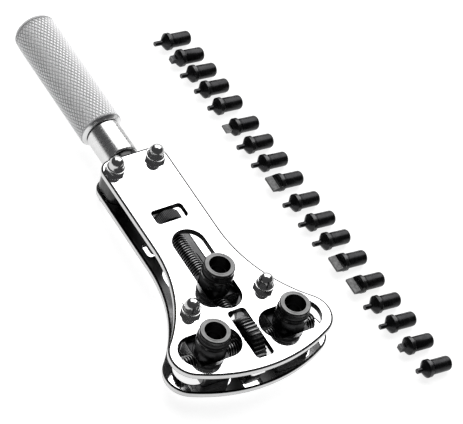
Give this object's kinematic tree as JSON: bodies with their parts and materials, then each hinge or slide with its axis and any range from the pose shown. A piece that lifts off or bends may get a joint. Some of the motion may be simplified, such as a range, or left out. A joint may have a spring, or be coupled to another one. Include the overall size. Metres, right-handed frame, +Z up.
{
  "type": "case back opener",
  "caption": "Adjustable three-jaw case back wrench: fan-shaped double plates, thumbwheel screws, socketed jaws, knurled handle and loose interchangeable bits.",
  "frame": {"origin": "middle of the whole set's bounding box, at the level of the surface that it stands on", "axes": "+Z up, +Y along the handle away from the jaws, +X towards the row of loose bits"},
  "size_m": [0.0996, 0.1898, 0.0242],
  "materials": {
    "chrome_plate": "mirror-polished chrome on flat ground steel plate",
    "chrome_nut": "bright chrome on turned domes and hexagons",
    "steel_screw": "turned and milled steel, light machining marks",
    "black_oxide": "black oxide on turned and threaded steel, worn grey at the edges",
    "blackened_bit": "oil-blackened hardened steel with faint turning marks",
    "grip_alloy": "satin alloy with a fine diamond knurl"
  },
  "bodies": {
    "wrench_body": {"acorn_nut_front_left": "chrome_nut", "acorn_nut_front_right": "chrome_nut", "acorn_nut_rear_left": "chrome_nut", "acorn_nut_rear_right": "chrome_nut", "bolt_front_left": "steel_screw", "bolt_front_right": "steel_screw", "bolt_rear_left": "steel_screw", "bolt_rear_right": "steel_screw", "bottom_plate": "chrome_plate", "ferrule": "chrome_plate", "handle_grip": "grip_alloy", "handle_tang": "steel_screw", "spacer_left": "steel_screw", "spacer_right": "steel_screw", "top_plate": "chrome_plate"},
    "cross_screw_body": {"cross_screw": "black_oxide", "front_thumbwheel": "black_oxide"},
    "lead_screw_body": {"lead_screw": "black_oxide", "rear_thumbwheel": "black_oxide"},
    "jaw_left_body": {"jaw_left": "black_oxide"},
    "jaw_right_body": {"jaw_right": "black_oxide"},
    "jaw_rear_body": {"jaw_rear": "black_oxide"},
    "bit_01_body": {"bit_01": "blackened_bit"},
    "bit_02_body": {"bit_02": "blackened_bit"},
    "bit_03_body": {"bit_03": "blackened_bit"},
    "bit_04_body": {"bit_04": "blackened_bit"},
    "bit_05_body": {"bit_05": "blackened_bit"},
    "bit_06_body": {"bit_06": "blackened_bit"},
    "bit_07_body": {"bit_07": "blackened_bit"},
    "bit_08_body": {"bit_08": "blackened_bit"},
    "bit_09_body": {"bit_09": "blackened_bit"},
    "bit_10_body": {"bit_10": "blackened_bit"},
    "bit_11_body": {"bit_11": "blackened_bit"},
    "bit_12_body": {"bit_12": "blackened_bit"},
    "bit_13_body": {"bit_13": "blackened_bit"},
    "bit_14_body": {"bit_14": "blackened_bit"},
    "bit_15_body": {"bit_15": "blackened_bit"},
    "bit_16_body": {"bit_16": "blackened_bit"},
    "bit_17_body": {"bit_17": "blackened_bit"},
    "bit_18_body": {"bit_18": "blackened_bit"}
  },
  "joints": [
    {"name": "cross_screw_spin", "type": "hinge", "parent": "wrench_body", "child": "cross_screw_body", "pos_m": [-0.01786, -0.06166, 0.0093], "axis": [1, 0, 0], "range_deg": [-2020, 1877]},
    {"name": "jaw_left_slide", "type": "slide", "parent": "wrench_body", "child": "jaw_left_body", "axis": [-1, 0, 0], "range_m": [-0.0052, 0.0056]},
    {"name": "jaw_right_slide", "type": "slide", "parent": "wrench_body", "child": "jaw_right_body", "axis": [1, 0, 0], "range_m": [-0.0052, 0.0056]},
    {"name": "lead_screw_spin", "type": "hinge", "parent": "wrench_body", "child": "lead_screw_body", "pos_m": [-0.01786, -0.00546, 0.0093], "axis": [0, 1, 0], "range_deg": [-6305, 2273]},
    {"name": "jaw_rear_slide", "type": "slide", "parent": "wrench_body", "child": "jaw_rear_body", "axis": [0, 1, 0], "range_m": [-0.0063, 0.0175]},
    {"name": "bit_01_lift", "type": "slide", "parent": "wrench_body", "child": "bit_01_body", "axis": [0, 0, 1], "range_m": [0, 0.015]},
    {"name": "bit_02_lift", "type": "slide", "parent": "wrench_body", "child": "bit_02_body", "axis": [0, 0, 1], "range_m": [0, 0.015]},
    {"name": "bit_03_lift", "type": "slide", "parent": "wrench_body", "child": "bit_03_body", "axis": [0, 0, 1], "range_m": [0, 0.015]},
    {"name": "bit_04_lift", "type": "slide", "parent": "wrench_body", "child": "bit_04_body", "axis": [0, 0, 1], "range_m": [0, 0.015]},
    {"name": "bit_05_lift", "type": "slide", "parent": "wrench_body", "child": "bit_05_body", "axis": [0, 0, 1], "range_m": [0, 0.015]},
    {"name": "bit_06_lift", "type": "slide", "parent": "wrench_body", "child": "bit_06_body", "axis": [0, 0, 1], "range_m": [0, 0.015]},
    {"name": "bit_07_lift", "type": "slide", "parent": "wrench_body", "child": "bit_07_body", "axis": [0, 0, 1], "range_m": [0, 0.015]},
    {"name": "bit_08_lift", "type": "slide", "parent": "wrench_body", "child": "bit_08_body", "axis": [0, 0, 1], "range_m": [0, 0.015]},
    {"name": "bit_09_lift", "type": "slide", "parent": "wrench_body", "child": "bit_09_body", "axis": [0, 0, 1], "range_m": [0, 0.015]},
    {"name": "bit_10_lift", "type": "slide", "parent": "wrench_body", "child": "bit_10_body", "axis": [0, 0, 1], "range_m": [0, 0.015]},
    {"name": "bit_11_lift", "type": "slide", "parent": "wrench_body", "child": "bit_11_body", "axis": [0, 0, 1], "range_m": [0, 0.015]},
    {"name": "bit_12_lift", "type": "slide", "parent": "wrench_body", "child": "bit_12_body", "axis": [0, 0, 1], "range_m": [0, 0.015]},
    {"name": "bit_13_lift", "type": "slide", "parent": "wrench_body", "child": "bit_13_body", "axis": [0, 0, 1], "range_m": [0, 0.015]},
    {"name": "bit_14_lift", "type": "slide", "parent": "wrench_body", "child": "bit_14_body", "axis": [0, 0, 1], "range_m": [0, 0.015]},
    {"name": "bit_15_lift", "type": "slide", "parent": "wrench_body", "child": "bit_15_body", "axis": [0, 0, 1], "range_m": [0, 0.015]},
    {"name": "bit_16_lift", "type": "slide", "parent": "wrench_body", "child": "bit_16_body", "axis": [0, 0, 1], "range_m": [0, 0.015]},
    {"name": "bit_17_lift", "type": "slide", "parent": "wrench_body", "child": "bit_17_body", "axis": [0, 0, 1], "range_m": [0, 0.015]},
    {"name": "bit_18_lift", "type": "slide", "parent": "wrench_body", "child": "bit_18_body", "axis": [0, 0, 1], "range_m": [0, 0.015]}
  ],
  "couplings": [
    {"joint": "jaw_left_slide", "follows": "jaw_right_slide", "ratio": 1},
    {"joint": "cross_screw_spin", "follows": "jaw_right_slide", "rad_per_m": -6283.2},
    {"joint": "lead_screw_spin", "follows": "jaw_rear_slide", "rad_per_m": -6283.2}
  ]
}
